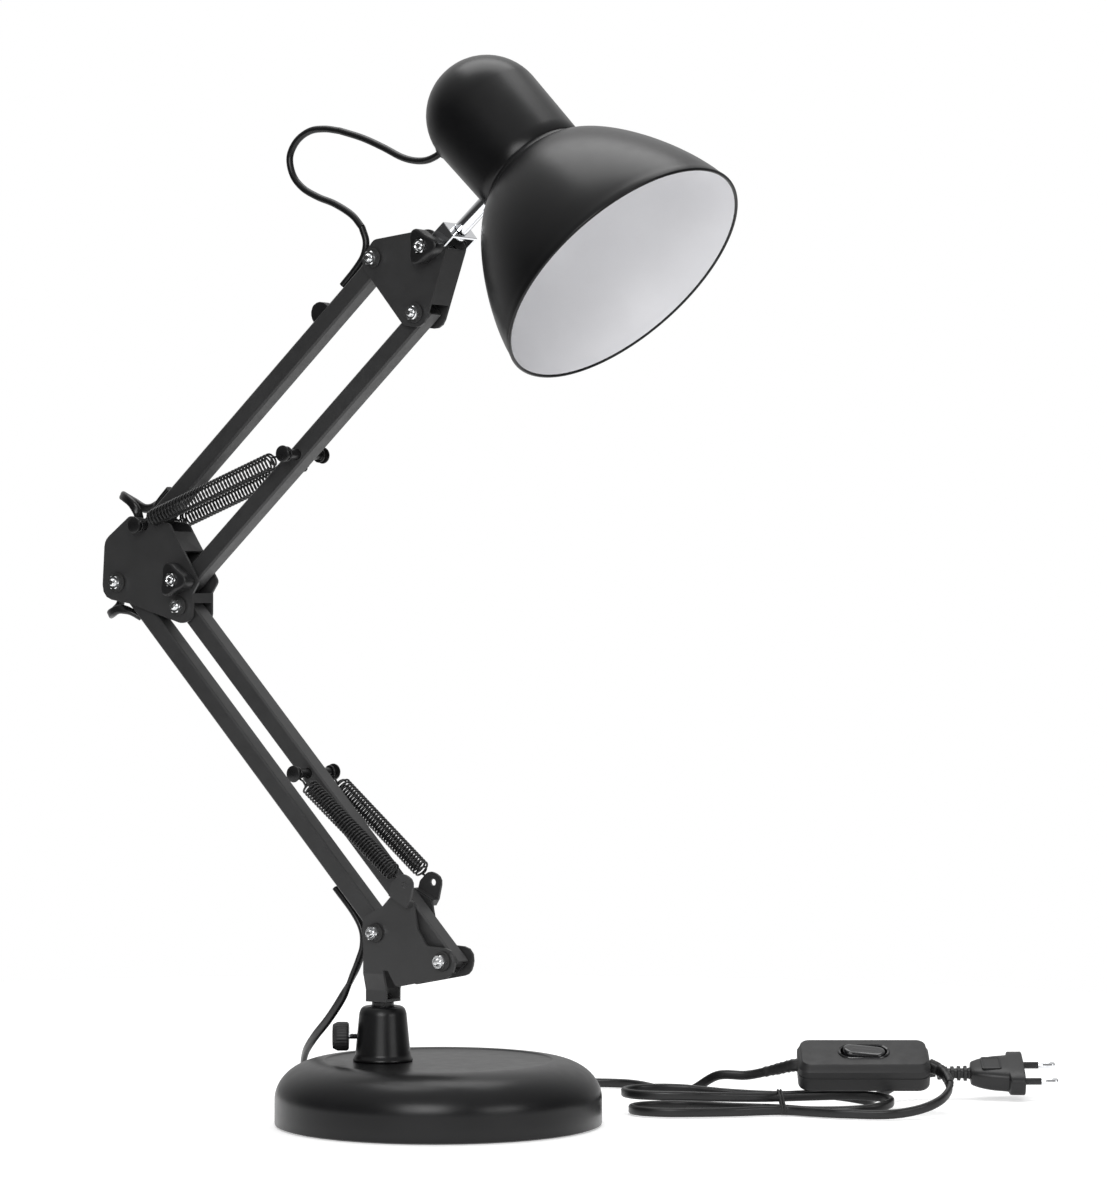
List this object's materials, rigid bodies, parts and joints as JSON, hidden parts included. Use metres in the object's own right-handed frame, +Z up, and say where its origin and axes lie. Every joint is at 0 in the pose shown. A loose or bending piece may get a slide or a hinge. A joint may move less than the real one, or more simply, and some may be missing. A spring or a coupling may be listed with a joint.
{
  "type": "architect desk lamp",
  "caption": "Desk lamp with a weighted round base, two spring-balanced parallelogram arms, a tilting bell reflector, an inline switch and a bundled mains lead.",
  "frame": {"origin": "on the resting face of the base, where the socket's vertical swivel axis meets the table", "axes": "+X towards the reflector in the plane of the arms, +Y away from the side with the knobs, +Z up"},
  "size_m": [0.4407, 0.3944, 0.5728],
  "materials": {
    "gloss_black": "semi-gloss black enamel",
    "satin_black": "satin black paint",
    "chrome": "polished chrome",
    "black_steel": "blackened spring steel",
    "cast_iron": "rough, hidden inside the base",
    "black_plastic": "matt black plastic",
    "gloss_plastic": "glossy black plastic",
    "black_rubber": "black cable sheath and rubber"
  },
  "bodies": {
    "root": {"base_cover": "gloss_black", "base_weight": "cast_iron", "base_pad": "black_rubber", "socket_post": "gloss_black", "socket_nut": "chrome", "mains_cord_floor": "black_rubber", "cord_hank": "black_rubber", "plug_cord": "black_rubber", "switch_cover": "black_plastic", "switch_base": "black_plastic", "plug_body": "black_plastic", "plug_pin_front": "chrome", "plug_pin_rear": "chrome"},
    "thumbscrew": {"thumb_screw": "chrome", "thumb_knob": "black_plastic"},
    "foot": {"spigot_pin": "black_steel", "foot_bracket": "satin_black", "foot_pivot_back_bolt": "chrome", "foot_pivot_back_nut": "chrome", "foot_pivot_front_bolt": "chrome", "foot_pivot_front_nut": "chrome", "mains_cord_arm": "black_rubber"},
    "lower_arm_rear": {"lower_arm_back": "satin_black"},
    "lower_arm_fore": {"lower_arm_front": "satin_black", "lower_spring_peg": "black_steel"},
    "lower_springs": {"lower_spring_front": "black_steel", "lower_spring_rear": "black_steel"},
    "elbow": {"elbow_bracket": "satin_black", "elbow_pivot_back_bolt": "chrome", "elbow_pivot_back_nut": "chrome", "elbow_pivot_front_bolt": "chrome", "elbow_pivot_front_nut": "chrome", "elbow_spring_peg": "black_steel", "elbow_lock_bolt": "chrome", "elbow_cord": "black_rubber"},
    "elbow_lock": {"elbow_knob": "black_plastic"},
    "upper_arm_rear": {"upper_arm_back": "satin_black", "cord_clip": "black_plastic"},
    "upper_arm_fore": {"upper_arm_front": "satin_black", "upper_spring_peg": "black_steel"},
    "upper_springs": {"upper_spring_front": "black_steel", "upper_spring_rear": "black_steel"},
    "upper_spring_ends": {"upper_spring_eye_front": "black_steel", "upper_spring_eye_rear": "black_steel"},
    "head": {"head_bracket": "satin_black", "head_pivot_back_bolt": "chrome", "head_pivot_back_nut": "chrome", "head_pivot_front_bolt": "chrome", "head_pivot_front_nut": "chrome", "head_lock_bolt": "chrome", "head_cord_loop": "black_rubber"},
    "head_lock": {"head_knob": "black_plastic"},
    "neck": {"neck_fork": "chrome", "neck_rod": "chrome", "head_cord_shade": "black_rubber"},
    "shade_body": {"shade": "gloss_black", "shade_grommet": "black_rubber", "lampholder": "black_plastic", "swivel_nut": "chrome"},
    "rocker": {"switch_rocker": "gloss_plastic"}
  },
  "joints": [
    {"name": "base_swivel", "type": "hinge", "parent": "root", "child": "foot", "pos_m": [0, 0, 0.06], "axis": [0, 0, 1], "range_deg": [-90, 90], "deforming": ["mains_cord_arm", "mains_cord_floor"]},
    {"name": "lower_arm_tilt", "type": "hinge", "parent": "foot", "child": "lower_arm_rear", "pos_m": [0.002, 0, 0.104], "axis": [0, -1, 0], "range_deg": [-40, 12], "deforming": ["lower_spring_front", "lower_spring_rear", "mains_cord_arm", "elbow_cord"]},
    {"name": "lower_arm_fore_tilt", "type": "hinge", "parent": "foot", "child": "lower_arm_fore", "pos_m": [0.0468, 0, 0.0908], "axis": [0, -1, 0], "range_deg": [-40, 12]},
    {"name": "lower_spring_swing", "type": "hinge", "parent": "foot", "child": "lower_springs", "pos_m": [0.0247, 0, 0.131], "axis": [0, -1, 0], "range_deg": [-59, 18]},
    {"name": "elbow_level", "type": "hinge", "parent": "lower_arm_rear", "child": "elbow", "pos_m": [-0.1803, 0, 0.293], "axis": [0, -1, 0], "range_deg": [-12, 40], "deforming": ["elbow_cord"]},
    {"name": "upper_arm_tilt", "type": "hinge", "parent": "elbow", "child": "upper_arm_rear", "pos_m": [-0.1613, 0, 0.325], "axis": [0, -1, 0], "range_deg": [-30, 25], "deforming": ["upper_spring_front", "upper_spring_rear", "upper_spring_eye_front", "upper_spring_eye_rear", "elbow_cord", "head_cord_loop"]},
    {"name": "upper_arm_fore_tilt", "type": "hinge", "parent": "elbow", "child": "upper_arm_fore", "pos_m": [-0.1331, 0, 0.2944], "axis": [0, -1, 0], "range_deg": [-30, 25]},
    {"name": "head_level", "type": "hinge", "parent": "upper_arm_rear", "child": "head", "pos_m": [0.0006, 0, 0.4674], "axis": [0, -1, 0], "range_deg": [-25, 30], "deforming": ["head_cord_loop"]},
    {"name": "upper_spring_swing", "type": "hinge", "parent": "elbow", "child": "upper_springs", "pos_m": [-0.1613, 0, 0.325], "axis": [0, -1, 0], "range_deg": [-26, 22]},
    {"name": "upper_spring_stretch", "type": "slide", "parent": "upper_springs", "child": "upper_spring_ends", "axis": [0.9416, 0, 0.3367], "range_m": [-0.0165, 0.0197]},
    {"name": "head_tilt", "type": "hinge", "parent": "head", "child": "neck", "pos_m": [0.0408, 0, 0.4713], "axis": [0, -1, 0], "range_deg": [-45, 45], "deforming": ["head_cord_loop", "head_cord_shade"]},
    {"name": "shade_swivel", "type": "hinge", "parent": "neck", "child": "shade_body", "pos_m": [0.0408, 0, 0.4713], "axis": [0.766, 0, 0.6428], "range_deg": [-45, 45], "deforming": ["head_cord_shade"]},
    {"name": "elbow_knob_turn", "type": "hinge", "parent": "elbow", "child": "elbow_lock", "pos_m": [-0.1331, 0, 0.2944], "axis": [0, -1, 0], "range_deg": [0, 180]},
    {"name": "head_knob_turn", "type": "hinge", "parent": "head", "child": "head_lock", "pos_m": [0.0408, 0, 0.4713], "axis": [0, -1, 0], "range_deg": [0, 180]},
    {"name": "thumbscrew_turn", "type": "hinge", "parent": "root", "child": "thumbscrew", "pos_m": [0, 0, 0.0475], "axis": [-0.8192, -0.5736, 0], "range_deg": [0, 360]},
    {"name": "switch_press", "type": "hinge", "parent": "root", "child": "rocker", "pos_m": [0.18333, 0.19844, 0.03105], "axis": [-0.524, 0.7483, 0.4067], "range_deg": [-12, 0]}
  ],
  "couplings": [
    {"joint": "lower_arm_fore_tilt", "follows": "lower_arm_tilt", "ratio": 1},
    {"joint": "elbow_level", "follows": "lower_arm_tilt", "ratio": -1},
    {"joint": "lower_spring_swing", "follows": "lower_arm_tilt", "ratio": 1.427},
    {"joint": "upper_arm_fore_tilt", "follows": "upper_arm_tilt", "ratio": 1},
    {"joint": "head_level", "follows": "upper_arm_tilt", "ratio": -1},
    {"joint": "upper_spring_swing", "follows": "upper_arm_tilt", "ratio": 0.8482},
    {"joint": "upper_spring_stretch", "follows": "upper_arm_tilt", "m_per_rad": -0.03683}
  ]
}
